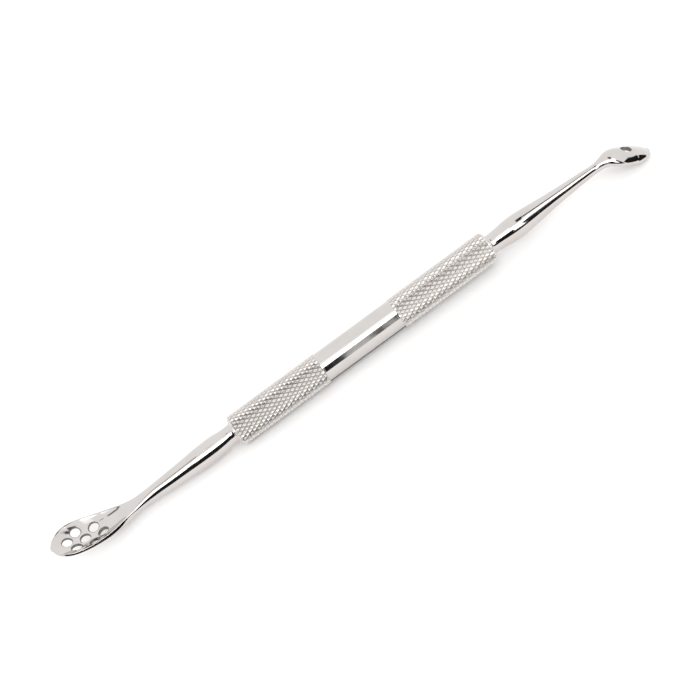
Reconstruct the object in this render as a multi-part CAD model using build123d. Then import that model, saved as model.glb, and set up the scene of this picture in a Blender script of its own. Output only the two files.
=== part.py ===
from build123d import *
import os
import math

# Double-ended comedone extractor: a round knurled bar with a forged working
# end set into each end of it.
#
# Frame: origin at the middle of the handle, on its axis.
#   X runs along the handle, the large sieve spoon at -X, the small eyelet
#   spoon at +X. Z is up: the sieve spoon curls up and opens upwards, the
#   eyelet spoon curls down and opens downwards. Y is across.
# Units: millimetres.

# ---------------------------------------------------------------- handle
HANDLE_LENGTH = 63.4
KNURL_DIA = 6.9            # over the crests of the diamond knurl
BAND_DIA = 6.5             # smooth mirror band between the knurls
BAND_X0 = -10.05           # band start and end along X
BAND_X1 = 8.55
KNURL_END_CHAMFER = 0.35   # outer ends of the knurled zones
KNURL_STEP_CHAMFER = 0.12  # inner ends, where the knurl meets the band
BORE_DIA = 3.2             # blind bore for the tang, one in each end
BORE_DEPTH = 10.0
BORE_POINT = 0.9           # drill point beyond the full depth
CSK_DIA = 4.2              # countersink that the filler metal fills
CSK_DEPTH = 0.5

# ---------------------------------------------------------- working ends
TANG_DIA = 3.12            # 0.04 mm of filler all round in the bore
TANG_LENGTH = 9.6
TANG_CHAMFER = 0.3
COLLAR_DIA = 4.5           # shoulder that seats on the handle's end face
COLLAR_LENGTH = 0.25
COLLAR_FLARE = 0.2
HOLE_DIA = 2.1             # every drilled hole

# Braze ring
RING_PLAY = 0.005

# Working-end tables. Each row is one cross-section, at distance x from the
# handle's end face:
#   x   distance along the axis
#   z   height of the section's centre, positive towards the open side
#   a   half width across
#   tt  thickness above the centre line (open side)
#   tb  thickness below the centre line (back)
#   pt  squareness of the open side (2 is round, 6 is flat with soft edges)
#   pb  squareness of the back
#   d   depth of the dish
SIEVE = [
    (0.90, 0.00, 2.10, 2.10, 2.10, 2.0, 2.0, 0.00),
    (1.70, -0.10, 2.03, 2.03, 2.03, 2.0, 2.0, 0.00),
    (3.00, -0.20, 2.18, 2.18, 2.18, 2.0, 2.0, 0.00),
    (4.60, -0.28, 2.38, 2.38, 2.38, 2.0, 2.0, 0.00),
    (6.50, -0.33, 2.45, 2.45, 2.45, 2.0, 2.0, 0.00),
    (9.00, -0.37, 2.38, 2.38, 2.38, 2.0, 2.0, 0.00),
    (12.50, -0.41, 2.15, 2.15, 2.15, 2.0, 2.0, 0.00),
    (16.60, -0.45, 1.92, 1.92, 1.92, 2.0, 2.0, 0.00),
    (20.60, -0.47, 1.70, 1.70, 1.70, 2.0, 2.0, 0.00),
    (22.60, -0.44, 1.66, 1.46, 1.64, 2.4, 2.0, 0.00),
    (24.60, -0.30, 1.70, 1.02, 1.70, 3.6, 2.1, 0.00),
    (26.70, 0.00, 1.98, 0.60, 1.55, 5.0, 2.6, 0.30),
    (28.70, 0.30, 2.46, 0.38, 1.10, 7.0, 4.6, 0.78),
    (30.50, 0.55, 3.00, 0.31, 0.78, 8.0, 6.0, 1.08),
    (32.40, 0.88, 3.48, 0.29, 0.55, 9.0, 8.0, 1.32),
    (34.40, 1.38, 3.88, 0.28, 0.42, 10.0, 9.0, 1.50),
    (36.00, 1.88, 4.16, 0.28, 0.34, 10.0, 10.0, 1.58),
    (37.50, 2.42, 4.28, 0.28, 0.30, 10.0, 10.0, 1.58),
    (39.00, 2.93, 4.18, 0.28, 0.30, 10.0, 10.0, 1.42),
    (40.40, 3.34, 3.76, 0.28, 0.30, 10.0, 10.0, 1.12),
    (41.60, 3.58, 3.05, 0.28, 0.30, 10.0, 10.0, 0.72),
    (42.50, 3.70, 2.16, 0.28, 0.30, 10.0, 10.0, 0.36),
    (43.00, 3.75, 1.38, 0.28, 0.30, 10.0, 10.0, 0.15),
    (43.25, 3.77, 0.60, 0.28, 0.30, 10.0, 10.0, 0.03),
]
EYELET = [
    (0.90, 0.00, 2.06, 2.06, 2.06, 2.0, 2.0, 0.00),
    (1.70, 0.02, 2.10, 2.10, 2.10, 2.0, 2.0, 0.00),
    (3.00, 0.04, 2.22, 2.22, 2.22, 2.0, 2.0, 0.00),
    (5.00, 0.08, 2.46, 2.46, 2.46, 2.0, 2.0, 0.00),
    (7.00, 0.10, 2.53, 2.53, 2.53, 2.0, 2.0, 0.00),
    (9.00, 0.10, 2.40, 2.40, 2.40, 2.0, 2.0, 0.00),
    (11.00, 0.08, 2.18, 2.18, 2.18, 2.0, 2.0, 0.00),
    (13.00, 0.06, 1.97, 1.97, 1.97, 2.0, 2.0, 0.00),
    (15.10, 0.05, 1.76, 1.76, 1.76, 2.0, 2.0, 0.00),
    (18.00, 0.04, 1.51, 1.51, 1.51, 2.0, 2.0, 0.00),
    (21.10, 0.03, 1.31, 1.31, 1.31, 2.0, 2.0, 0.00),
    (24.00, 0.05, 1.13, 1.13, 1.13, 2.0, 2.0, 0.00),
    (26.60, 0.12, 1.01, 0.98, 1.02, 2.2, 2.0, 0.00),
    (28.00, 0.24, 1.22, 0.80, 1.24, 2.6, 2.0, 0.10),
    (29.10, 0.44, 1.74, 0.52, 1.30, 4.0, 2.0, 0.45),
    (30.20, 0.75, 2.39, 0.40, 1.00, 5.0, 2.1, 0.95),
    (31.20, 1.22, 2.82, 0.34, 0.80, 6.0, 2.4, 1.28),
    (32.30, 1.98, 3.03, 0.30, 0.66, 7.0, 2.8, 1.42),
    (33.40, 2.68, 3.08, 0.28, 0.58, 8.0, 3.2, 1.48),
    (34.50, 3.33, 3.02, 0.28, 0.50, 8.0, 4.0, 1.51),
    (35.60, 3.89, 2.81, 0.28, 0.45, 8.0, 5.0, 1.32),
    (36.80, 4.41, 2.35, 0.28, 0.41, 8.0, 6.0, 0.96),
    (37.65, 4.74, 1.77, 0.28, 0.38, 8.0, 8.0, 0.57),
    (38.20, 4.89, 1.16, 0.28, 0.34, 8.0, 8.0, 0.24),
    (38.50, 4.94, 0.58, 0.28, 0.32, 8.0, 8.0, 0.06),
]

# Sieve holes: three rows, 2-3-2, staggered. The pattern is turned a little
# about the middle hole.
SIEVE_CENTRE = (36.6, -0.25)
SIEVE_PITCH_X = 3.55
SIEVE_ROW_Y = 1.95
SIEVE_TURN = 9.2           # degrees
EYELET_HOLE = (33.1, 0.0)

SECTION_POINTS = 36
LOFT_START = 0.35          # the loft starts inside the collar


def monotone(xs, ys):
    """Shape-keeping cubic through the table rows (no overshoot)."""
    n = len(xs)
    h = [xs[i + 1] - xs[i] for i in range(n - 1)]
    d = [(ys[i + 1] - ys[i]) / h[i] for i in range(n - 1)]
    m = [0.0] * n
    for i in range(1, n - 1):
        if d[i - 1] * d[i] > 0:
            w1 = 2 * h[i] + h[i - 1]
            w2 = h[i] + 2 * h[i - 1]
            m[i] = (w1 + w2) / (w1 / d[i - 1] + w2 / d[i])
    m[0] = ((2 * h[0] + h[1]) * d[0] - h[0] * d[1]) / (h[0] + h[1])
    m[-1] = ((2 * h[-1] + h[-2]) * d[-1] - h[-1] * d[-2]) / (h[-1] + h[-2])
    if m[0] * d[0] <= 0:
        m[0] = 0.0
    if m[-1] * d[-1] <= 0:
        m[-1] = 0.0

    def f(x):
        x = min(max(x, xs[0]), xs[-1])
        i = 0
        while i < n - 2 and x > xs[i + 1]:
            i += 1
        t = (x - xs[i]) / h[i]
        return ((1 + 2 * t) * (1 - t) ** 2 * ys[i] + t * (1 - t) ** 2 * h[i] * m[i]
                + t * t * (3 - 2 * t) * ys[i + 1] + t * t * (t - 1) * h[i] * m[i + 1])
    return f


def curves(table):
    xs = [row[0] for row in table]
    return [monotone(xs, [row[i] for row in table]) for i in range(1, 8)]


def slope(f, x, e=0.02):
    return math.atan((f[0](x + e) - f[0](x - e)) / (2 * e))


def sheet_point(f, x, s, up):
    """Point of the cross-section at station x, s across it (-1 to 1), on the
    open side or on the back. Thickness is measured square to the dish, and
    the section stands square to the centre line."""
    z, a, tt, tb, pt, pb, d = [g(x) for g in f]
    m = 2 * d * s / a
    q = math.hypot(1.0, m)
    if up:
        h = tt * max(0.0, 1 - abs(s) ** pt) ** 0.5
    else:
        h = -tb * max(0.0, 1 - abs(s) ** pb) ** 0.5
    n = -d * (1 - s * s) + h / q
    b = slope(f, x)
    return (x - n * math.sin(b), a * s - h * m / q, z + n * math.cos(b))


def section(f, x, n=SECTION_POINTS):
    """Closed cross-section."""
    angles = [2 * math.pi * k / n for k in range(n)]
    return [sheet_point(f, x, math.cos(t), math.sin(t) >= 0) for t in angles]


def face_point(f, x, y):
    """Point on the open face at station x and offset y, and its normal."""
    a = f[1](x)
    s = y / a
    for _ in range(8):
        s += (y - sheet_point(f, x, s, True)[1]) / a
    e = 0.05
    px = Vector(*sheet_point(f, x + e, s, True)) - Vector(*sheet_point(f, x - e, s, True))
    py = Vector(*sheet_point(f, x, s + e / a, True)) - Vector(*sheet_point(f, x, s - e / a, True))
    n = px.cross(py).normalized()
    if n.Z < 0:
        n = n * -1
    return Vector(*sheet_point(f, x, s, True)), n


def stations(table):
    """Loft stations: the table rows, with one more between far rows."""
    xs = [LOFT_START] + [row[0] for row in table]
    out = []
    for x0, x1 in zip(xs, xs[1:]):
        out.append(x0)
        if x1 - x0 > 1.3 and x0 > 20.0:
            out.append((x0 + x1) / 2)
    out.append(xs[-1])
    return out


def turned(profile):
    """Solid of revolution about X from (x, r) points closed on the axis."""
    face = make_face(Polyline([(x, 0, r) for x, r in profile], close=True))
    return revolve(face, axis=Axis.X)


def working_end(table, holes):
    """One working end in its own frame: x out of the handle's end face."""
    f = curves(table)
    half = SECTION_POINTS // 2
    wires = []
    for x in stations(table):
        p = [Vector(*q) for q in section(f, x)]
        wires.append(Wire([Edge.make_spline(p[:half + 1]),
                           Edge.make_spline(p[half:] + [p[0]])]))
    blade = Solid.make_loft(wires)
    rt, rc = TANG_DIA / 2, COLLAR_DIA / 2
    root = turned([
        (-TANG_LENGTH, 0), (-TANG_LENGTH, rt - TANG_CHAMFER),
        (-TANG_LENGTH + TANG_CHAMFER, rt), (0, rt), (0, rc - 0.08), (0.08, rc),
        (COLLAR_LENGTH, rc), (COLLAR_LENGTH + COLLAR_FLARE, table[0][2] - 0.02),
        (COLLAR_LENGTH + COLLAR_FLARE, 0),
    ])
    body = root + blade
    for x, y in holes:
        p, n = face_point(f, x, y)
        body -= Plane(origin=p, z_dir=n) * Cylinder(HOLE_DIA / 2, 4.4)
    return body


def one_solid(shape):
    found = shape.solids()
    return found[0] if len(found) == 1 else Compound(children=list(found))


# Handle: the bar's outline turned about X, then both bores.
HL = HANDLE_LENGTH / 2
RK, RB = KNURL_DIA / 2, BAND_DIA / 2
c, s_ = KNURL_END_CHAMFER, KNURL_STEP_CHAMFER
handle = turned([
    (-HL, 0), (-HL, RK - c), (-HL + c, RK), (BAND_X0 - s_, RK), (BAND_X0, RB),
    (BAND_X1, RB), (BAND_X1 + s_, RK), (HL - c, RK), (HL, RK - c), (HL, 0),
])
bore = turned([
    (HL + 0.5, 0), (HL + 0.5, CSK_DIA / 2), (HL, CSK_DIA / 2),
    (HL - CSK_DEPTH, BORE_DIA / 2), (HL - BORE_DEPTH, BORE_DIA / 2),
    (HL - BORE_DEPTH - BORE_POINT, 0),
])
handle -= bore
handle -= Rot(0, 0, 180) * bore

# Seven sieve holes, 2-3-2.
turn = math.radians(SIEVE_TURN)
sieve_holes = []
for i, j in ((1, 0), (0, 0), (-1, 0), (0.5, 1), (-0.5, 1), (0.5, -1), (-0.5, -1)):
    dx, dy = i * SIEVE_PITCH_X, j * SIEVE_ROW_Y
    sieve_holes.append((SIEVE_CENTRE[0] + dx * math.cos(turn) - dy * math.sin(turn),
                        SIEVE_CENTRE[1] + dx * math.sin(turn) + dy * math.cos(turn)))

# The sieve spoon points along -X and opens upwards. Its table's y runs the
# same way as Y, so it is mirrored rather than turned.
sieve_spoon = working_end(SIEVE, sieve_holes)
sieve_spoon = Pos(-HL, 0, 0) * mirror(sieve_spoon, about=Plane.YZ)

# The eyelet spoon points along +X and opens downwards.
eyelet_spoon = Pos(HL, 0, 0) * (Rot(180, 0, 0) * working_end(EYELET, [EYELET_HOLE]))

# Braze rings: filler metal in each countersink, between the bore's mouth,
# the tang and the shoulder.
ring = turned([
    (HL - CSK_DEPTH + 2 * RING_PLAY, TANG_DIA / 2 + RING_PLAY),
    (HL - CSK_DEPTH + 2 * RING_PLAY, BORE_DIA / 2 - RING_PLAY),
    (HL - RING_PLAY, CSK_DIA / 2 - 3 * RING_PLAY),
    (HL - RING_PLAY, TANG_DIA / 2 + RING_PLAY),
])
ring_mirror = Rot(0, 0, 180) * ring

nodes = {
    "handle": handle,
    "sieve_spoon": sieve_spoon,
    "eyelet_spoon": eyelet_spoon,
    "braze_ring_sieve_end": ring_mirror,
    "braze_ring_eyelet_end": ring,
}
os.makedirs("parts", exist_ok=True)
for name, shape in nodes.items():
    export_step(one_solid(shape), f"parts/{name}.step")
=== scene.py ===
import math

import bmesh
import bpy
import numpy as np
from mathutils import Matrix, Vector
from mathutils.bvhtree import BVHTree


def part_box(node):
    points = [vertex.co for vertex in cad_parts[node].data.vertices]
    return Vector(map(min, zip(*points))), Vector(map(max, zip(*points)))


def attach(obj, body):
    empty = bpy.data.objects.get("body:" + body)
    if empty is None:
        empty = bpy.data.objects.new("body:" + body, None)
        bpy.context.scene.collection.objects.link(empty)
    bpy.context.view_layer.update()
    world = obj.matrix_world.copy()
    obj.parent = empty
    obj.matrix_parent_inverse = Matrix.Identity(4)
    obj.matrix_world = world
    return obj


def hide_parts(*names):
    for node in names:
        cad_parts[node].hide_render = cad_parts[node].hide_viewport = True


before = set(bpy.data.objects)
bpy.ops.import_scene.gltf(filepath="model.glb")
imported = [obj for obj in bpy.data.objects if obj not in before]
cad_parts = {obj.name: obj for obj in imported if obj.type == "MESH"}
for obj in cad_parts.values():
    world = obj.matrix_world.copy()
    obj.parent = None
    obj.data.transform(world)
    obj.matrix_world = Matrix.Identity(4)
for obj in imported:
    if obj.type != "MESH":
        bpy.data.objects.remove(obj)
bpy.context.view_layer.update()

MM = 0.001
scene = bpy.context.scene

# ------------------------------------------------------------------ sizes
h_lo, h_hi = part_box("handle")
HL = h_hi.x / MM                  # half the handle's length, mm
RK = h_hi.y / MM                  # radius over the knurl's crests
RB = 3.25                         # smooth band
BAND_X0, BAND_X1 = -10.05, 8.55
BORE_R, BORE_DEPTH, BORE_POINT = 1.6, 10.0, 0.9
CSK_R, CSK_DEPTH = 2.1, 0.5
TANG_R, TANG_LEN = 1.56, 9.6
COLLAR_R, COLLAR_LEN = 2.25, 0.30
HOLE_R = 1.05
LEAD = 0.12                       # rounded lead-in at both mouths of a hole

# Cross-sections of the two working ends, from the handle's end face out:
# x, z, half width, thickness above, thickness below, squareness above and
# below, depth of the dish.
SIEVE = [
    (0.90, 0.00, 2.10, 2.10, 2.10, 2.0, 2.0, 0.00),
    (1.70, -0.10, 2.03, 2.03, 2.03, 2.0, 2.0, 0.00),
    (3.00, -0.20, 2.18, 2.18, 2.18, 2.0, 2.0, 0.00),
    (4.60, -0.28, 2.38, 2.38, 2.38, 2.0, 2.0, 0.00),
    (6.50, -0.33, 2.45, 2.45, 2.45, 2.0, 2.0, 0.00),
    (9.00, -0.37, 2.38, 2.38, 2.38, 2.0, 2.0, 0.00),
    (12.50, -0.41, 2.15, 2.15, 2.15, 2.0, 2.0, 0.00),
    (16.60, -0.45, 1.92, 1.92, 1.92, 2.0, 2.0, 0.00),
    (20.60, -0.47, 1.70, 1.70, 1.70, 2.0, 2.0, 0.00),
    (22.60, -0.44, 1.66, 1.46, 1.64, 2.4, 2.0, 0.00),
    (24.60, -0.30, 1.70, 1.02, 1.70, 3.6, 2.1, 0.00),
    (26.70, 0.00, 1.98, 0.60, 1.55, 5.0, 2.6, 0.30),
    (28.70, 0.30, 2.46, 0.38, 1.10, 7.0, 4.6, 0.78),
    (30.50, 0.55, 3.00, 0.31, 0.78, 8.0, 6.0, 1.08),
    (32.40, 0.88, 3.48, 0.29, 0.55, 9.0, 8.0, 1.32),
    (34.40, 1.38, 3.88, 0.28, 0.42, 10.0, 9.0, 1.50),
    (36.00, 1.88, 4.16, 0.28, 0.34, 10.0, 10.0, 1.58),
    (37.50, 2.42, 4.28, 0.28, 0.30, 10.0, 10.0, 1.58),
    (39.00, 2.93, 4.18, 0.28, 0.30, 10.0, 10.0, 1.42),
    (40.40, 3.34, 3.76, 0.28, 0.30, 10.0, 10.0, 1.12),
    (41.60, 3.58, 3.05, 0.28, 0.30, 10.0, 10.0, 0.72),
    (42.50, 3.70, 2.16, 0.28, 0.30, 10.0, 10.0, 0.36),
    (43.00, 3.75, 1.38, 0.28, 0.30, 10.0, 10.0, 0.15),
    (43.25, 3.77, 0.60, 0.28, 0.30, 10.0, 10.0, 0.03),
]
EYELET = [
    (0.90, 0.00, 2.06, 2.06, 2.06, 2.0, 2.0, 0.00),
    (1.70, 0.02, 2.10, 2.10, 2.10, 2.0, 2.0, 0.00),
    (3.00, 0.04, 2.22, 2.22, 2.22, 2.0, 2.0, 0.00),
    (5.00, 0.08, 2.46, 2.46, 2.46, 2.0, 2.0, 0.00),
    (7.00, 0.10, 2.53, 2.53, 2.53, 2.0, 2.0, 0.00),
    (9.00, 0.10, 2.40, 2.40, 2.40, 2.0, 2.0, 0.00),
    (11.00, 0.08, 2.18, 2.18, 2.18, 2.0, 2.0, 0.00),
    (13.00, 0.06, 1.97, 1.97, 1.97, 2.0, 2.0, 0.00),
    (15.10, 0.05, 1.76, 1.76, 1.76, 2.0, 2.0, 0.00),
    (18.00, 0.04, 1.51, 1.51, 1.51, 2.0, 2.0, 0.00),
    (21.10, 0.03, 1.31, 1.31, 1.31, 2.0, 2.0, 0.00),
    (24.00, 0.05, 1.13, 1.13, 1.13, 2.0, 2.0, 0.00),
    (26.60, 0.12, 1.01, 0.98, 1.02, 2.2, 2.0, 0.00),
    (28.00, 0.24, 1.22, 0.80, 1.24, 2.6, 2.0, 0.10),
    (29.10, 0.44, 1.74, 0.52, 1.30, 4.0, 2.0, 0.45),
    (30.20, 0.75, 2.39, 0.40, 1.00, 5.0, 2.1, 0.95),
    (31.20, 1.22, 2.82, 0.34, 0.80, 6.0, 2.4, 1.28),
    (32.30, 1.98, 3.03, 0.30, 0.66, 7.0, 2.8, 1.42),
    (33.40, 2.68, 3.08, 0.28, 0.58, 8.0, 3.2, 1.48),
    (34.50, 3.33, 3.02, 0.28, 0.50, 8.0, 4.0, 1.51),
    (35.60, 3.89, 2.81, 0.28, 0.45, 8.0, 5.0, 1.32),
    (36.80, 4.41, 2.35, 0.28, 0.41, 8.0, 6.0, 0.96),
    (37.65, 4.74, 1.77, 0.28, 0.38, 8.0, 8.0, 0.57),
    (38.20, 4.89, 1.16, 0.28, 0.34, 8.0, 8.0, 0.24),
    (38.50, 4.94, 0.58, 0.28, 0.32, 8.0, 8.0, 0.06),
]
SIEVE_CENTRE, SIEVE_PITCH_X, SIEVE_ROW_Y, SIEVE_TURN = (36.6, -0.25), 3.55, 1.95, math.radians(9.2)
EYELET_HOLES = [(33.1, 0.0)]
SIEVE_HOLES = []
for i, j in ((1, 0), (0, 0), (-1, 0), (0.5, 1), (-0.5, 1), (0.5, -1), (-0.5, -1)):
    dx, dy = i * SIEVE_PITCH_X, j * SIEVE_ROW_Y
    SIEVE_HOLES.append((SIEVE_CENTRE[0] + dx * math.cos(SIEVE_TURN) - dy * math.sin(SIEVE_TURN),
                        SIEVE_CENTRE[1] + dx * math.sin(SIEVE_TURN) + dy * math.cos(SIEVE_TURN)))


# ------------------------------------------------------------- curve tools
def monotone(xs, ys):
    """Shape-keeping cubic through points, smoothed to a continuous bend."""
    n = len(xs)
    h = [xs[i + 1] - xs[i] for i in range(n - 1)]
    d = [(ys[i + 1] - ys[i]) / h[i] for i in range(n - 1)]
    m = [0.0] * n
    for i in range(1, n - 1):
        if d[i - 1] * d[i] > 0:
            w1, w2 = 2 * h[i] + h[i - 1], h[i] + 2 * h[i - 1]
            m[i] = (w1 + w2) / (w1 / d[i - 1] + w2 / d[i])
    m[0] = ((2 * h[0] + h[1]) * d[0] - h[0] * d[1]) / (h[0] + h[1])
    m[-1] = ((2 * h[-1] + h[-2]) * d[-1] - h[-1] * d[-2]) / (h[-1] + h[-2])
    if m[0] * d[0] <= 0:
        m[0] = 0.0
    if m[-1] * d[-1] <= 0:
        m[-1] = 0.0

    def f(x):
        x = min(max(x, xs[0]), xs[-1])
        i = 0
        while i < n - 2 and x > xs[i + 1]:
            i += 1
        t = (x - xs[i]) / h[i]
        return ((1 + 2 * t) * (1 - t) ** 2 * ys[i] + t * (1 - t) ** 2 * h[i] * m[i]
                + t * t * (3 - 2 * t) * ys[i + 1] + t * t * (t - 1) * h[i] * m[i + 1])
    return f


def sampled(table, step=0.1):
    """Table curves sampled finely and smoothed, so that a polished surface
    through them shows no kinks at the rows."""
    xs = [r[0] for r in table]
    x = np.arange(xs[0], xs[-1] + step * 0.5, step)
    x[-1] = xs[-1]
    cols = []
    for i in range(1, 8):
        f = monotone(xs, [r[i] for r in table])
        y = np.array([f(v) for v in x])
        end = y[-1]
        pad = 14
        for _ in range(3):
            g = np.concatenate([np.full(pad, y[0]), y, 2 * end - y[-2:-pad - 2:-1]])
            k = np.hanning(15)
            k /= k.sum()
            s = np.convolve(g, k, mode="same")[pad:-pad]
            # the tip's fast taper is kept as drawn
            w = np.clip((xs[-1] - x) / 2.2, 0, 1)
            y = y * (1 - w) + s * w
        cols.append(y)
    return x, np.array(cols)


class Ends:
    """The shape of one working end, as smooth functions of x."""

    def __init__(self, table, side):
        self.side = side                     # -1: points to -X, opens up
        self.x, self.c = sampled(table)
        z = self.c[0]
        self.b = np.arctan(np.gradient(z, self.x))

    def at(self, x):
        v = [float(np.interp(x, self.x, c)) for c in self.c]
        return v, float(np.interp(x, self.x, self.b))

    def point(self, x, s, up, shrink=1.0):
        (z, a, tt, tb, pt, pb, d), b = self.at(x)
        a, tt, tb, d = a * shrink, tt * shrink, tb * shrink, d * shrink
        # thickness is measured square to the dish
        m = 2 * d * s / a
        q = math.hypot(1.0, m)
        # where the sheet is thin its edge is ground flat
        w = min(max(((pt if up else pb) - 4) / 4, 0.0), 1.0)
        p, t = (pt, tt) if up else (pb, -tb)
        h = t * max(0.0, 1 - abs(s) ** (p * (1 + 4 * w))) ** (1 / (2 + 4 * w))
        n = -d * (1 - s * s) + h / q
        return (x - n * math.sin(b), a * s - h * m / q, z + n * math.cos(b))

    def across(self, x, y):
        """The s that puts the open face at offset y."""
        a = self.at(x)[0][1]
        s = y / a
        for _ in range(8):
            s += (y - self.point(x, s, True)[1]) / a
        return s

    def world(self, p):
        x, y, z = p
        return (self.side * (HL + x), y, z) if self.side < 0 else (HL + x, -y, -z)


def around(n):
    """Angles round a section, closer together near the two rims."""
    out = []
    for k in range(n):
        t = 2 * math.pi * k / n
        out.append(t - 0.42 * math.sin(2 * t))
    return out


def lathe_rings(profile, n):
    """Rings of (x, r) about the X axis, with the section's own angles."""
    th = around(n)
    return [[(x, r * math.cos(t), r * math.sin(t)) for t in th] for x, r in profile]


def arc(x0, r0, x1, r1, bulge, n):
    """Points from (x0, r0) to (x1, r1) with a quarter-round swell or hollow."""
    out = []
    for k in range(1, n + 1):
        t = k / n * math.pi / 2
        if bulge > 0:
            out.append((x0 + (x1 - x0) * math.sin(t), r0 + (r1 - r0) * (1 - math.cos(t))))
        else:
            out.append((x0 + (x1 - x0) * (1 - math.cos(t)), r0 + (r1 - r0) * math.sin(t)))
    return out


def bridge(name, rings, world, cap_start, cap_end):
    """Closed mesh through rings of equal count; caps are single points."""
    n = len(rings[0])
    verts = [world(p) for ring in rings for p in ring]
    faces = []
    for i in range(len(rings) - 1):
        for k in range(n):
            a, b = i * n + k, i * n + (k + 1) % n
            faces.append((a, b, b + n, a + n))
    s = len(verts)
    verts.append(world(cap_start))
    for k in range(n):
        faces.append((s, (k + 1) % n, k))
    e = len(verts)
    verts.append(world(cap_end))
    o = (len(rings) - 1) * n
    for k in range(n):
        faces.append((e, o + k, o + (k + 1) % n))
    me = bpy.data.meshes.new(name)
    me.from_pydata([Vector(v) * MM for v in verts], [], faces)
    me.validate()
    bm = bmesh.new()
    bm.from_mesh(me)
    bmesh.ops.recalc_face_normals(bm, faces=bm.faces)
    bm.to_mesh(me)
    bm.free()
    me.update()
    ob = bpy.data.objects.new(name, me)
    scene.collection.objects.link(ob)
    return ob


def working_end(name, table, side, holes, n=96):
    e = Ends(table, side)
    x_end = table[-1][0]
    r0 = table[0][2]
    profile = [(-TANG_LEN, TANG_R - 0.3), (-TANG_LEN + 0.3, TANG_R), (-0.02, TANG_R), (0.0, TANG_R + 0.02),
               (0.0, COLLAR_R - 0.08)]
    profile += arc(0.0, COLLAR_R - 0.08, 0.08, COLLAR_R, -1, 5)
    profile += [(0.13, COLLAR_R), (COLLAR_LEN - 0.12, COLLAR_R)]
    # soft shoulder, then a hollow flare into the waist
    xc, rc = COLLAR_LEN - 0.12, COLLAR_R
    for k in range(1, 6):
        t = k / 5 * math.radians(60)
        profile.append((xc + 0.10 * math.sin(t), rc - 0.10 * (1 - math.cos(t))))
    xf, rf = profile[-1]
    x_join = 0.80
    (_, a_join, *_), _ = e.at(x_join)
    for k in range(1, 9):
        t = k / 8
        # hollow curve, steep at the collar and flat at the waist
        profile.append((xf + (x_join - xf) * t, a_join + (rf - a_join) * (1 - t) ** 2.6))
    rings = lathe_rings(profile, n)
    # shift the flare's rings on to the shank's own centre line
    zj = e.at(x_join)[0][0]
    for i, (x, r) in enumerate(profile):
        w = min(max((x - 0.2) / (x_join - 0.2), 0), 1)
        w = w * w * (3 - 2 * w)
        rings[i] = [(p[0], p[1], p[2] + zj * w) for p in rings[i]]
    th = around(n)
    xs = list(np.arange(x_join + 0.14, 20.0, 0.22)) + list(np.arange(20.0, x_end - 1.2, 0.115))
    # the tip closes on an ellipse, with stations crowding towards its end
    x0 = xs[-1]
    for k in range(1, 17):
        xs.append(x0 + (x_end - x0) * math.sin(k / 16 * math.pi / 2))
    for x in xs:
        rings.append([e.point(x, math.cos(t), math.sin(t) >= 0) for t in th])
    last = rings[-1]
    c = e.point(x_end, 0.0, True), e.point(x_end, 0.0, False)
    mid = tuple((p + q) / 2 for p, q in zip(*c))
    for k in range(1, 6):
        t = k / 6 * math.pi / 2
        ring = []
        for p in last:
            ring.append((mid[0] + (p[0] - mid[0]) + 0.26 * math.sin(t),
                         mid[1] + (p[1] - mid[1]) * math.cos(t) ** 0.9,
                         mid[2] + (p[2] - mid[2]) * (0.25 + 0.75 * math.cos(t))))
        rings.append(ring)
    tip = (mid[0] + 0.28, mid[1], mid[2])
    ob = bridge(name, rings, e.world, (-TANG_LEN, 0.0, 0.0), tip)
    return ob, e


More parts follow.
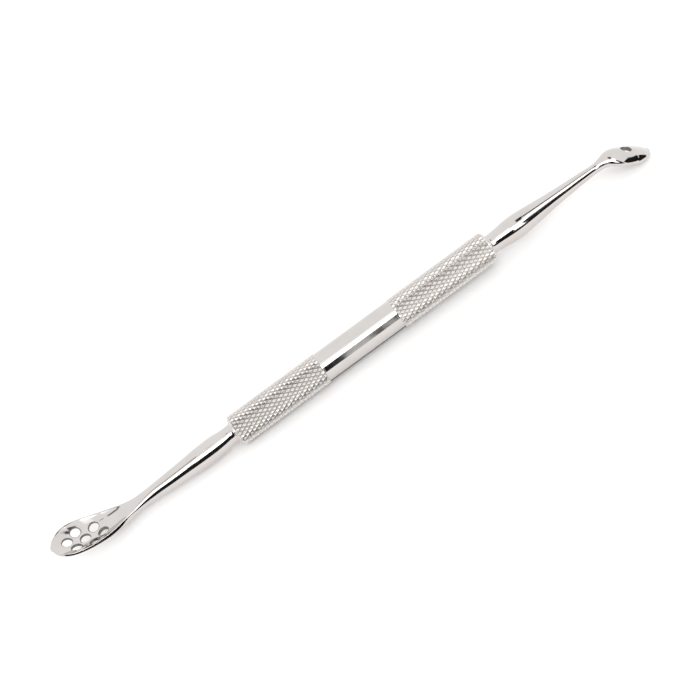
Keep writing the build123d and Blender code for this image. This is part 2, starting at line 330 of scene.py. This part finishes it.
def cut_holes(ob, e, holes):
    """Drills the holes with a small rounded lead-in on both faces, then gives
    every corner its exact normal so that the polish shows no facets."""
    plain = ob.data.copy()
    bm = bmesh.new()
    bm.from_mesh(plain)
    bmesh.ops.triangulate(bm, faces=bm.faces)
    bm.normal_update()
    tree = BVHTree.FromBMesh(bm)
    tri_verts = [[v.co.copy() for v in f.verts] for f in bm.faces]
    tri_norms = [[v.normal.copy() for v in f.verts] for f in bm.faces]
    bm.free()
    axes = []
    cutter_me = bpy.data.meshes.new("cutter")
    cb = bmesh.new()
    for hx, hy in holes:
        s = e.across(hx, hy)
        p = np.array(e.point(hx, s, True))
        ex = np.array(e.point(hx + 0.05, s, True)) - np.array(e.point(hx - 0.05, s, True))
        ey = np.array(e.point(hx, s + 0.02, True)) - np.array(e.point(hx, s - 0.02, True))
        nn = np.cross(ex, ey)
        nn /= np.linalg.norm(nn)
        if nn[2] < 0:
            nn = -nn
        o = Vector(e.world(tuple(p))) * MM
        o2 = Vector(e.world(tuple(p + nn))) * MM
        axis = (o2 - o).normalized()
        ref = Vector((1, 0, 0)) if abs(axis.x) < 0.9 else Vector((0, 1, 0))
        u1 = axis.cross(ref).normalized()
        u2 = axis.cross(u1).normalized()
        N = 72
        out = [u1 * math.cos(2 * math.pi * k / N) + u2 * math.sin(2 * math.pi * k / N) for k in range(N)]

        def height(k, r, above):
            """Where the skin lies along the axis, at this angle and radius."""
            start = o + out[k] * (r * MM) + axis * ((2.2 if above else -3.4) * MM)
            hit = tree.ray_cast(start, -axis if above else axis)
            return (hit[0] - o).dot(axis) / MM

        # rings from above the face to below the back: (radius, side, depth)
        prof = [(HOLE_R + LEAD + 0.10, 1, 0.45)]
        for i in range(7):
            u = i / 6 * math.pi / 2
            prof.append((HOLE_R + LEAD * (1 - math.sin(u)), 1, 0.004 - LEAD * (1 - math.cos(u))))
        for i in range(7):
            u = (1 - i / 6) * math.pi / 2
            prof.append((HOLE_R + LEAD * (1 - math.sin(u)), 0, LEAD * (1 - math.cos(u)) - 0.004))
        prof.append((HOLE_R + LEAD + 0.10, 0, -0.45))
        rows = [[] for _ in prof]
        for k in range(N):
            hf = height(k, HOLE_R + LEAD * 0.6, True)
            hb = height(k, HOLE_R + LEAD * 0.6, False)
            for row, (r, top, dh) in zip(rows, prof):
                h = (hf if top else hb) + dh
                row.append(cb.verts.new(o + axis * (h * MM) + out[k] * (r * MM)))
        mid = (height(0, HOLE_R, True) + height(0, HOLE_R, False)) / 2
        axes.append((o, axis, mid * MM))
        for i in range(len(rows) - 1):
            for k in range(N):
                cb.faces.new((rows[i][k], rows[i][(k + 1) % N], rows[i + 1][(k + 1) % N], rows[i + 1][k]))
        cb.faces.new(rows[0])
        cb.faces.new(rows[-1][::-1])
    bmesh.ops.recalc_face_normals(cb, faces=cb.faces)
    cb.to_mesh(cutter_me)
    cb.free()
    cutter = bpy.data.objects.new("cutter", cutter_me)
    scene.collection.objects.link(cutter)
    mod = ob.modifiers.new("holes", "BOOLEAN")
    mod.operation = "DIFFERENCE"
    mod.object = cutter
    mod.solver = "EXACT"
    dg = bpy.context.evaluated_depsgraph_get()
    new = bpy.data.meshes.new_from_object(ob.evaluated_get(dg))
    ob.modifiers.clear()
    ob.data = new
    bpy.data.objects.remove(cutter)
    for poly in new.polygons:
        poly.use_smooth = True
    # exact normals
    normals = []
    hole_face = np.zeros(len(new.polygons), bool)

    def skin_normal(co):
        hit = tree.find_nearest(co)
        f = hit[2]
        a, b, c = tri_verts[f]
        na, nb, nc = tri_norms[f]
        v0, v1, v2 = b - a, c - a, hit[0] - a
        d00, d01, d11 = v0.dot(v0), v0.dot(v1), v1.dot(v1)
        d20, d21 = v2.dot(v0), v2.dot(v1)
        den = d00 * d11 - d01 * d01
        if abs(den) < 1e-30:
            return na
        vv = (d11 * d20 - d01 * d21) / den
        ww = (d00 * d21 - d01 * d20) / den
        return (na * (1 - vv - ww) + nb * vv + nc * ww).normalized()

    for poly in new.polygons:
        c = poly.center
        for o, axis, mid in axes:
            w = c - o
            r = (w - axis * w.dot(axis)).length
            if r < (HOLE_R + LEAD * 1.05) * MM and abs(w.dot(axis) - mid) < 2.0 * MM:
                hole_face[poly.index] = True
                break
    for poly in new.polygons:
        hf = hole_face[poly.index]
        for vi in poly.vertices:
            co = new.vertices[vi].co
            n = None
            if hf:
                for o, axis, mid in axes:
                    w = co - o
                    rad = w - axis * w.dot(axis)
                    if rad.length < (HOLE_R + LEAD * 1.3) * MM and abs(w.dot(axis) - mid) < 2.0 * MM:
                        x = min(max((rad.length / MM - HOLE_R) / LEAD, 0.0), 1.0)
                        n = (-rad.normalized() * (1 - x) + skin_normal(co) * math.sqrt(max(0.0, 1 - (1 - x) ** 2))).normalized()
                        break
            if n is None:
                n = skin_normal(co)
            normals.append(n)
    new.normals_split_custom_set([tuple(n) for n in normals])
    att = new.attributes.new("in_hole", "FLOAT", "FACE")
    att.data.foreach_set("value", hole_face.astype(np.float32))
    return ob


# ------------------------------------------------------------------ handle
KN = 24                       # diamonds round the bar
LX = 1.70                     # length of a diamond along the bar
DEPTH = 0.27                  # depth of the knurl
SUB = 8                       # grid steps per diamond


def tri(t):
    """0 at whole numbers (groove), 1 half way between (crest)."""
    f = t - math.floor(t)
    return 1 - abs(2 * f - 1)


def knurl_height(x, ang, phase):
    """Height of the knurl, 0 at the bottom of a groove, 1 on a crest."""
    p = x / LX + ang * KN / (2 * math.pi) + phase
    q = x / LX - ang * KN / (2 * math.pi) + phase
    h = min(tri(p), tri(q))
    return h


def hash01(i, j, k=0):
    v = math.sin(i * 127.1 + j * 311.7 + k * 74.7) * 43758.5453
    return v - math.floor(v)


def knurled_handle(name):
    n = KN * SUB
    rings, crest_and_shade = [], []

    def plain(x, r, w=1.0):
        rings.append([(x, r * math.cos(2 * math.pi * k / n), r * math.sin(2 * math.pi * k / n)) for k in range(n)])
        crest_and_shade.append([w] * n)

    def zone(x0, x1, out0, out1, phase):
        """A knurled zone from x0 to x1. out0/out1: chamfer length at that end."""
        step = LX / SUB
        m = int(round((x1 - x0) / step))
        for i in range(m + 1):
            x = x0 + (x1 - x0) * i / m
            ring, crest_and_shade_row = [], []
            for k in range(n):
                ang = 2 * math.pi * k / n
                h = knurl_height(x - x0, ang, phase)
                # crests are slightly flattened, each by its own amount
                ci, cj = math.floor((x - x0) / LX + phase), math.floor(ang * KN / (2 * math.pi))
                flat = 0.80 + 0.10 * hash01(ci, cj)
                hh = min(h, flat) / 0.9
                # grooves run out softly at the inner ends
                fade = 1.0
                if out0 == 0:
                    fade = min(fade, 0.35 + 0.65 * min(1, (x - x0) / 0.55))
                if out1 == 0:
                    fade = min(fade, 0.35 + 0.65 * min(1, (x1 - x) / 0.55))
                # and stop just short of the chamfered outer ends
                end = (x - x0) if out0 else (x1 - x)
                fade = min(fade, min(1.0, max(0.0, (end - 0.22) / 0.30)))
                r = RK - DEPTH * (1 - min(hh, 1.0)) * fade
                if out0:
                    r = min(r, RK - out0 * max(0.0, 1 - (x - x0) / (out0 * 1.1)))
                if out1:
                    r = min(r, RK - out1 * max(0.0, 1 - (x1 - x) / (out1 * 1.1)))
                r = max(r, 2.9)
                ring.append((x, r * math.cos(ang), r * math.sin(ang)))
                # the crest level (0 in a groove, up to 0.93 on a crest, 1 where the knurl fades out) sets the
                # roughness, and in the material it sets painted shade in the grooves and painted light on the
                # crests
                crest_and_shade_row.append(min(hh, 1.0) * 0.93 * min(1.0, fade * 4) + 1.0 * (1 - min(1.0, fade * 4)))
            rings.append(ring)
            crest_and_shade.append(crest_and_shade_row)

    # left bore, from its bottom out to the end face; its low crest levels (0.3 in the bore, 0.6 in the
    # countersink) darken it in the handle's material as painted shade
    plain(-HL + BORE_DEPTH, BORE_R, 0.3)
    plain(-HL + CSK_DEPTH, BORE_R, 0.3)
    plain(-HL + 0.02, CSK_R - 0.02, 0.6)
    plain(-HL, CSK_R, 0.6)
    plain(-HL, 2.6)
    plain(-HL, RK - 0.40)
    zone(-HL, BAND_X0, 0.35, 0, 0.0)
    # step down to the band, with a fine undercut line
    plain(BAND_X0 + 0.02, RB + 0.05)
    plain(BAND_X0 + 0.05, RB + 0.015)
    plain(BAND_X0 + 0.10, RB)
    for x in np.linspace(BAND_X0 + 0.4, BAND_X1 - 0.4, 40):
        plain(float(x), RB)
    plain(BAND_X1 - 0.10, RB)
    plain(BAND_X1 - 0.05, RB + 0.015)
    plain(BAND_X1 - 0.02, RB + 0.05)
    zone(BAND_X1, HL, 0, 0.35, 0.35)
    plain(HL, RK - 0.40)
    plain(HL, 2.6)
    # right countersink and bore, darkened by their low crest levels as painted shade
    plain(HL, CSK_R, 0.6)
    plain(HL - 0.02, CSK_R - 0.02, 0.6)
    plain(HL - CSK_DEPTH, BORE_R, 0.3)
    plain(HL - BORE_DEPTH, BORE_R, 0.3)

    verts, faces = [], []
    for ring in rings:
        verts += ring
    R = np.array([[math.hypot(p[1], p[2]) for p in ring] for ring in rings])
    for i in range(len(rings) - 1):
        for k in range(n):
            k2 = (k + 1) % n
            a, b, c, d = i * n + k, i * n + k2, (i + 1) * n + k2, (i + 1) * n + k
            # split each cell along the crease: a-c or b-d
            s = (R[i, k] + R[i + 1, k2]) - (R[i, k2] + R[i + 1, k])
            if abs(s) < 1e-6:
                faces.append((a, b, c, d))
            elif s < 0:
                faces.append((a, b, c))
                faces.append((a, c, d))
            else:
                faces.append((a, b, d))
                faces.append((b, c, d))
    s = len(verts)
    verts.append((-HL + BORE_DEPTH + BORE_POINT, 0, 0))
    for k in range(n):
        faces.append((s, (k + 1) % n, k))
    e = len(verts)
    verts.append((HL - BORE_DEPTH - BORE_POINT, 0, 0))
    o = (len(rings) - 1) * n
    for k in range(n):
        faces.append((e, o + k, o + (k + 1) % n))
    me = bpy.data.meshes.new(name)
    me.from_pydata([Vector(v) * MM for v in verts], [], faces)
    bm = bmesh.new()
    bm.from_mesh(me)
    bmesh.ops.recalc_face_normals(bm, faces=bm.faces)
    bm.to_mesh(me)
    bm.free()
    me.update()
    # the crest levels go to the material, which darkens grooves and bore as painted shade and keeps the crests
    # lighter as painted light
    att = me.attributes.new("crest", "FLOAT", "POINT")
    vals = np.concatenate([np.array(w, float) for w in crest_and_shade] + [np.array([0.3, 0.3])])
    att.data.foreach_set("value", vals.astype(np.float32))
    ob = bpy.data.objects.new(name, me)
    scene.collection.objects.link(ob)
    for poly in me.polygons:
        poly.use_smooth = True
    me.set_sharp_from_angle(angle=math.radians(24))
    return ob


# --------------------------------------------------------------- materials
def new_mat(name):
    m = bpy.data.materials.new(name)
    m.use_nodes = True
    nt = m.node_tree
    bsdf = nt.nodes["Principled BSDF"]
    return m, nt, bsdf


def node(nt, kind, **kw):
    n = nt.nodes.new(kind)
    for k, v in kw.items():
        setattr(n, k, v)
    return n


def ramp(nt, stops, interpolation="LINEAR"):
    r = node(nt, "ShaderNodeValToRGB")
    r.color_ramp.interpolation = interpolation
    while len(r.color_ramp.elements) < len(stops):
        r.color_ramp.elements.new(0.5)
    for e, (p, c) in zip(r.color_ramp.elements, stops):
        e.position = p
        e.color = (c, c, c, 1) if not isinstance(c, tuple) else (*c, 1)
    return r


def polished_steel(name, tint_lo, tint_hi, rough_lo, rough_hi, scratch=0.5, bump=0.02):
    """Hand-polished stainless: near-mirror, with fine buffing lines along the
    tool, faint clouding and a few random hairlines."""
    m, nt, b = new_mat(name)
    L = nt.links
    b.inputs["Metallic"].default_value = 1.0
    tc = node(nt, "ShaderNodeTexCoord")
    # buffing lines: noise stretched along X
    mp = node(nt, "ShaderNodeMapping")
    mp.inputs["Scale"].default_value = (900, 14000, 14000)
    L.new(tc.outputs["Object"], mp.inputs["Vector"])
    fine = node(nt, "ShaderNodeTexNoise")
    fine.inputs["Scale"].default_value = 1.0
    fine.inputs["Detail"].default_value = 3.0
    L.new(mp.outputs["Vector"], fine.inputs["Vector"])
    # slow clouding, some millimetres across
    cloud = node(nt, "ShaderNodeTexNoise")
    cloud.inputs["Scale"].default_value = 260.0
    cloud.inputs["Detail"].default_value = 5.0
    L.new(tc.outputs["Object"], cloud.inputs["Vector"])
    # sparse hairlines: thin ridges of a warped wave
    mp2 = node(nt, "ShaderNodeMapping")
    mp2.inputs["Rotation"].default_value = (0.3, 0.2, 0.6)
    mp2.inputs["Scale"].default_value = (500, 2600, 2600)
    L.new(tc.outputs["Object"], mp2.inputs["Vector"])
    hair = node(nt, "ShaderNodeTexNoise")
    hair.inputs["Scale"].default_value = 1.0
    hair.inputs["Detail"].default_value = 1.0
    L.new(mp2.outputs["Vector"], hair.inputs["Vector"])
    hair_r = ramp(nt, [(0.0, 0.0), (0.492, 0.0), (0.5, 1.0), (0.508, 0.0), (1.0, 0.0)])
    L.new(hair.outputs["Fac"], hair_r.inputs["Fac"])
    # colour
    cr = ramp(nt, [(0.3, tint_lo), (0.7, tint_hi)])
    L.new(cloud.outputs["Fac"], cr.inputs["Fac"])
    L.new(cr.outputs["Color"], b.inputs["Base Color"])
    # roughness = clouding + lines + hairlines
    mr = node(nt, "ShaderNodeMapRange")
    mr.inputs["From Min"].default_value = 0.3
    mr.inputs["From Max"].default_value = 0.7
    mr.inputs["To Min"].default_value = rough_lo
    mr.inputs["To Max"].default_value = rough_hi
    L.new(cloud.outputs["Fac"], mr.inputs["Value"])
    ml = node(nt, "ShaderNodeMath", operation="MULTIPLY_ADD")
    L.new(fine.outputs["Fac"], ml.inputs[0])
    ml.inputs[1].default_value = 0.05 * scratch
    L.new(mr.outputs["Result"], ml.inputs[2])
    mh = node(nt, "ShaderNodeMath", operation="MULTIPLY_ADD", use_clamp=True)
    L.new(hair_r.outputs["Color"], mh.inputs[0])
    mh.inputs[1].default_value = 0.10 * scratch
    L.new(ml.outputs["Value"], mh.inputs[2])
    L.new(mh.outputs["Value"], b.inputs["Roughness"])
    # micro relief
    bp = node(nt, "ShaderNodeBump")
    bp.inputs["Strength"].default_value = bump
    bp.inputs["Distance"].default_value = 0.00002
    L.new(fine.outputs["Fac"], bp.inputs["Height"])
    L.new(bp.outputs["Normal"], b.inputs["Normal"])
    return m, nt, b


mat_spoon, nt, b = polished_steel("spoon_steel", (0.625, 0.600, 0.585), (0.665, 0.642, 0.628), 0.035, 0.085)
# the drilled walls are rougher than the polish, and their colour is darkened as painted shade inside the holes
L = nt.links
at = node(nt, "ShaderNodeAttribute", attribute_name="in_hole")
mix = node(nt, "ShaderNodeMix", data_type="FLOAT")
old = b.inputs["Roughness"].links[0].from_socket
L.new(at.outputs["Fac"], mix.inputs["Factor"])
L.new(old, mix.inputs["A"])
mix.inputs["B"].default_value = 0.24
L.new(mix.outputs["Result"], b.inputs["Roughness"])
# painted shade: the colour of the hole walls is taken down to a dark brown-grey
hole_painted_shade = node(nt, "ShaderNodeMix", data_type="RGBA")
old = b.inputs["Base Color"].links[0].from_socket
L.new(at.outputs["Fac"], hole_painted_shade.inputs["Factor"])
L.new(old, hole_painted_shade.inputs["A"])
hole_painted_shade.inputs["B"].default_value = (0.20, 0.185, 0.175, 1)
L.new(hole_painted_shade.outputs["Result"], b.inputs["Base Color"])

# the handle's tint is lighter than the spoons'; only the knurl's crests keep it, as painted light
mat_handle, nt, b = polished_steel("handle_steel", (0.830, 0.800, 0.780), (0.880, 0.855, 0.835), 0.04, 0.09, scratch=0.6)
L = nt.links
at = node(nt, "ShaderNodeAttribute", attribute_name="crest")
# painted shade and light: the knurl's grooves are darkened towards their bottoms and its crests keep the full,
# lighter tint, while the band and plain steel (level 1.0) are taken down to 0.75, the spoons' tone
knurl_light_and_shade = ramp(nt, [(0.0, (0.48, 0.46, 0.45)), (0.35, (0.80, 0.79, 0.78)), (0.75, (1.0, 1.0, 1.0)), (0.93, (1.0, 1.0, 1.0)), (0.97, (0.75, 0.75, 0.75)), (1.0, (0.75, 0.75, 0.75))])
L.new(at.outputs["Fac"], knurl_light_and_shade.inputs["Fac"])
mul = node(nt, "ShaderNodeMix", data_type="RGBA", blend_type="MULTIPLY")
mul.inputs["Factor"].default_value = 1.0
old = b.inputs["Base Color"].links[0].from_socket
L.new(old, mul.inputs["A"])
L.new(knurl_light_and_shade.outputs["Color"], mul.inputs["B"])
L.new(mul.outputs["Result"], b.inputs["Base Color"])
# the rolled knurl has no buffing: satin, dullest down in the grooves
rr = ramp(nt, [(0.0, 0.36), (0.93, 0.18), (0.97, 0.0), (1.0, 0.0)])
L.new(at.outputs["Fac"], rr.inputs["Fac"])
add = node(nt, "ShaderNodeMath", operation="ADD", use_clamp=True)
old = b.inputs["Roughness"].links[0].from_socket
L.new(old, add.inputs[0])
L.new(rr.outputs["Color"], add.inputs[1])
L.new(add.outputs["Value"], b.inputs["Roughness"])

mat_braze, nt, b = new_mat("braze_filler")
L = nt.links
b.inputs["Metallic"].default_value = 1.0
tc = node(nt, "ShaderNodeTexCoord")
nz = node(nt, "ShaderNodeTexNoise")
nz.inputs["Scale"].default_value = 3000.0
nz.inputs["Detail"].default_value = 4.0
L.new(tc.outputs["Object"], nz.inputs["Vector"])
cr = ramp(nt, [(0.3, (0.66, 0.58, 0.40)), (0.7, (0.80, 0.74, 0.58))])
L.new(nz.outputs["Fac"], cr.inputs["Fac"])
L.new(cr.outputs["Color"], b.inputs["Base Color"])
mr = node(nt, "ShaderNodeMapRange")
mr.inputs["To Min"].default_value = 0.25
mr.inputs["To Max"].default_value = 0.5
L.new(nz.outputs["Fac"], mr.inputs["Value"])
L.new(mr.outputs["Result"], b.inputs["Roughness"])

# ------------------------------------------------------------------ pieces
sieve, e_s = working_end("sieve_spoon_detail", SIEVE, -1, SIEVE_HOLES)
cut_holes(sieve, e_s, SIEVE_HOLES)
eyelet, e_e = working_end("eyelet_spoon_detail", EYELET, 1, EYELET_HOLES)
cut_holes(eyelet, e_e, EYELET_HOLES)
handle = knurled_handle("handle_detail")
for ob, mat, nodes, slot in ((sieve, mat_spoon, "sieve_spoon", "spoon_steel"),
                             (eyelet, mat_spoon, "eyelet_spoon", "spoon_steel"),
                             (handle, mat_handle, "handle", "handle_steel")):
    ob.data.materials.clear()
    ob.data.materials.append(mat)
    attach(ob, "root")
    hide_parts(nodes)
for nm in ("braze_ring_sieve_end", "braze_ring_eyelet_end"):
    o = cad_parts[nm]
    for s in o.material_slots:
        s.material = mat_braze

# ------------------------------------------------------------------ camera
# The tool lies in a plane square to the view, about 46 degrees up, and the
# picture is turned so that the handle runs up to the right.
TH = math.radians(44)          # between the view direction and +Z
TURN = math.radians(36.2)
K = 0.2022 * MM                # metres per pixel at the handle
D = 1100.0                     # distance in pixels
back = Vector((0, -math.sin(TH), math.cos(TH)))
up_h = Vector((0, math.cos(TH), math.sin(TH)))     # across the handle, in the picture
right_h = Vector((1, 0, 0))
# the optical axis meets the handle's plane here, along and across the handle
aim = right_h * ((-17.8 + 1.25) * K) + up_h * ((-3.2 + 1.15) * K)
# the picture's centre (350, 350) lies at this point of the same plane
cam_data = bpy.data.cameras.new("camera")
cam = bpy.data.objects.new("camera", cam_data)
scene.collection.objects.link(cam)
scene.camera = cam
cam_data.sensor_width = 36.0
cam_data.lens = 36.0 * D / 700.0
cam.location = aim + back * (D * K)
img_up = up_h * math.cos(TURN) + right_h * math.sin(TURN)
img_right = right_h * math.cos(TURN) - up_h * math.sin(TURN)
from mathutils import Matrix
rot = Matrix((img_right, img_up, back)).transposed()
cam.rotation_mode = "QUATERNION"
cam.rotation_quaternion = rot.to_quaternion()
cam_data.clip_start, cam_data.clip_end = 0.01, 20

# ------------------------------------------------------------------- floor
def floor_height():
    lo_l = min(v.co.z for v in handle.data.vertices if v.co.x < -0.030)
    return lo_l


z_left = floor_height()
eye_v = np.array([v.co for v in eyelet.data.vertices])
ang = None
for p in eye_v[np.argsort(eye_v[:, 2])[:200]]:
    a = math.atan2(p[2] - z_left, p[0] + HL * MM)
    ang = a if ang is None else min(ang, a)


def floor_plane(name, drop, lo, hi, glow):
    S = 3.0
    fl = bpy.data.meshes.new(name)
    fl.from_pydata([(-S, -S, 0), (S, -S, 0), (S, S, 0), (-S, S, 0)], [], [(0, 1, 2, 3)])
    o = bpy.data.objects.new(name, fl)
    scene.collection.objects.link(o)
    o.location = (-HL * MM, 0, z_left - drop)
    o.rotation_euler = (0, -ang, 0)
    fm, nt, b = new_mat(name)
    tc = node(nt, "ShaderNodeTexCoord")
    nz = node(nt, "ShaderNodeTexNoise")
    nz.inputs["Scale"].default_value = 30.0
    nt.links.new(tc.outputs["Object"], nz.inputs["Vector"])
    cr = ramp(nt, [(0.3, lo), (0.7, hi)])
    nt.links.new(nz.outputs["Fac"], cr.inputs["Fac"])
    nt.links.new(cr.outputs["Color"], b.inputs["Base Color"])
    b.inputs["Roughness"].default_value = 0.9
    b.inputs["Specular IOR Level"].default_value = 0.0
    if glow:
        b.inputs["Emission Color"].default_value = (1, 1, 1, 1)
        b.inputs["Emission Strength"].default_value = glow
    fl.materials.append(fm)
    return o


# the white table top, and a slightly grey one just under it that only the
# polished steel sees
top = floor_plane("floor", 0.00002, (0.855, 0.855, 0.855), (0.87, 0.87, 0.87), 0.11)
top.visible_glossy = False
top.visible_diffuse = False
top.visible_shadow = False
under = floor_plane("floor_reflected", 0.00006, (0.79, 0.775, 0.77), (0.82, 0.805, 0.80), 0.14)
under.visible_camera = False

# ------------------------------------------------------------------- light
world = bpy.data.worlds.new("studio")
scene.world = world
world.use_nodes = True
wn = world.node_tree
bg = wn.nodes["Background"]
bg.inputs["Color"].default_value = (1.0, 0.995, 0.985, 1)
bg.inputs["Strength"].default_value = 1.09


def area(name, loc, target, size, size_y, power, color=(1, 1, 1)):
    l = bpy.data.lights.new(name, "AREA")
    l.shape = "RECTANGLE"
    l.size, l.size_y = size, size_y
    l.energy = power
    l.color = color
    o = bpy.data.objects.new(name, l)
    scene.collection.objects.link(o)
    o.location = loc
    o.rotation_mode = "QUATERNION"
    o.rotation_quaternion = (Vector(target) - Vector(loc)).to_track_quat("-Z", "Y")
    return o


# a broad lamp over the camera, in panels at one height (metres), those
# nearest the tool dimmed
H = 0.90
for nm, x0, x1, y0, y1, level in (("lamp_front", -0.46, 0.52, -1.035, -0.50, 2.4),
                                  ("lamp_left", -0.46, -0.28, -0.50, -0.355, 2.4),
                                  ("lamp_left_dim", -0.46, -0.28, -0.355, -0.29, 0.30),
                                  ("lamp_half_left", -0.28, -0.075, -0.50, -0.40, 2.4),
                                  ("lamp_middle", -0.075, 0.095, -0.50, -0.39, 2.4),
                                  ("lamp_middle_dim", -0.075, 0.095, -0.39, -0.205, 0.30),
                                  ("lamp_right", 0.41, 0.52, -0.50, -0.30, 2.4)):
    sx, sy = x1 - x0, y1 - y0
    cx, cy = (x0 + x1) / 2, (y0 + y1) / 2
    l = area(nm, (cx, cy, H), (cx, cy, 0), sx, sy, level * math.pi * sx * sy)
    l.rotation_quaternion = (1, 0, 0, 0)


def card(name, az0, az1, el0, el1, r, value, glow=0.0):
    """A card that only reflections see: a patch of a sphere round the tool,
    from az0 to az1 (0 is the camera's side, + towards +X), el0 to el1 up."""
    na, ne = max(1, int(abs(az1 - az0) / 4)), max(1, int(abs(el1 - el0) / 6))
    verts, faces = [], []
    for i in range(na + 1):
        a = math.radians(az0 + (az1 - az0) * i / na)
        for k in range(ne + 1):
            t = math.radians(el0 + (el1 - el0) * k / ne)
            verts.append((r * math.cos(t) * math.sin(a), -r * math.cos(t) * math.cos(a), r * math.sin(t)))
    for i in range(na):
        for k in range(ne):
            q = i * (ne + 1) + k
            faces.append((q, q + 1, q + ne + 2, q + ne + 1))
    return sheet(name, verts, faces, value, glow)


def sheet(name, verts, faces, value, glow=0.0):
    me = bpy.data.meshes.new(name)
    me.from_pydata(verts, [], faces)
    o = bpy.data.objects.new(name, me)
    scene.collection.objects.link(o)
    m, nt, b = new_mat(name)
    tc = node(nt, "ShaderNodeTexCoord")
    nz = node(nt, "ShaderNodeTexNoise")
    nz.inputs["Scale"].default_value = 6.0
    nt.links.new(tc.outputs["Object"], nz.inputs["Vector"])
    cr = ramp(nt, [(0.3, (value, value, value)), (0.7, (value * 1.3, value * 1.3, value * 1.3))])
    nt.links.new(nz.outputs["Fac"], cr.inputs["Fac"])
    nt.links.new(cr.outputs["Color"], b.inputs["Base Color"])
    b.inputs["Roughness"].default_value = 1.0
    b.inputs["Specular IOR Level"].default_value = 0.0
    me.materials.append(m)
    if glow:
        b.inputs["Emission Color"].default_value = (1, 1, 1, 1)
        b.inputs["Emission Strength"].default_value = glow
    o.visible_camera = False
    o.visible_shadow = False
    o.visible_diffuse = False
    return o


# the dark room behind the camera, with a bright window and, nearer, two pale
# boards that stand across it
card("room", -80, 33, 2, 41, 1.40, 0.010)
for nm, x0, x1, z0 in (("window_left", 0.067, 0.098, 0.101), ("window_right", 0.098, 0.139, 0.090)):
    sheet(nm, [(x0, -0.25, z0), (x1, -0.25, z0), (x1, -0.25, 0.217), (x0, -0.25, 0.217)], [(0, 1, 2, 3)], 0.9, 1.2)
for nm, x0, x1 in (("board_left", -0.0056, 0.0053), ("board_right", 0.0099, 0.0140)):
    sheet(nm, [(x0, -0.12, 0.0042), (x1, -0.12, 0.0042), (x1, -0.12, 0.1043), (x0, -0.12, 0.1043)],
          [(0, 1, 2, 3)], 0.50)
# a low dark object on the table to the right, its top sloping down
low = [(40, 14.5), (50, 15.5), (60, 15.5), (70, 15.5), (77, 15.8), (84, 14.5), (93, 4.5)]
pts = []
for az, el in low:
    for t in (0.3, el):
        a, t = math.radians(az), math.radians(t)
        pts.append((1.3 * math.cos(t) * math.sin(a), -1.3 * math.cos(t) * math.cos(a), 1.3 * math.sin(t)))
sheet("low_right", pts, [(2 * i, 2 * i + 1, 2 * i + 3, 2 * i + 2) for i in range(len(low) - 1)], 0.010)
# the lamp's stand, high on the right, and the dark edges behind its panels
sheet("lamp_stand", [(0.20, -0.25, 0.8), (0.33, -0.25, 0.8), (0.33, 0.12, 0.8), (0.20, 0.12, 0.8)], [(0, 1, 2, 3)], 0.03)
sheet("edge_right", [(0.335, -0.10, 0.8), (0.42, -0.12, 0.8), (0.42, 0.05, 0.8), (0.335, 0.05, 0.8)], [(0, 1, 2, 3)], 0.02)
sheet("edge_left", [(-0.45, -0.11, 0.8), (-0.27, -0.10, 0.8), (-0.27, 0.0, 0.8), (-0.45, 0.0, 0.8)], [(0, 1, 2, 3)], 0.14)
sheet("edge_middle", [(-0.20, -0.060, 0.8), (-0.12, -0.060, 0.8), (-0.12, -0.034, 0.8), (-0.20, -0.034, 0.8)], [(0, 1, 2, 3)], 0.08)
# painted shadow: a dark sheet on the table right under the handle, seen only in the steel, stands in for the
# handle's contact shadow
ends = [(x, z_left + (x + HL * MM) * math.tan(ang) + 0.00002) for x in (-HL * MM, HL * MM)]
sheet("painted_contact_shadow", [(ends[0][0], -0.0027, ends[0][1]), (ends[1][0], -0.0027, ends[1][1]),
                  (ends[1][0], 0.0035, ends[1][1]), (ends[0][0], 0.0035, ends[0][1])], [(0, 1, 2, 3)], 0.10)

scene.view_settings.view_transform = "Standard"
scene.view_settings.look = "None"
scene.view_settings.exposure = 0.0
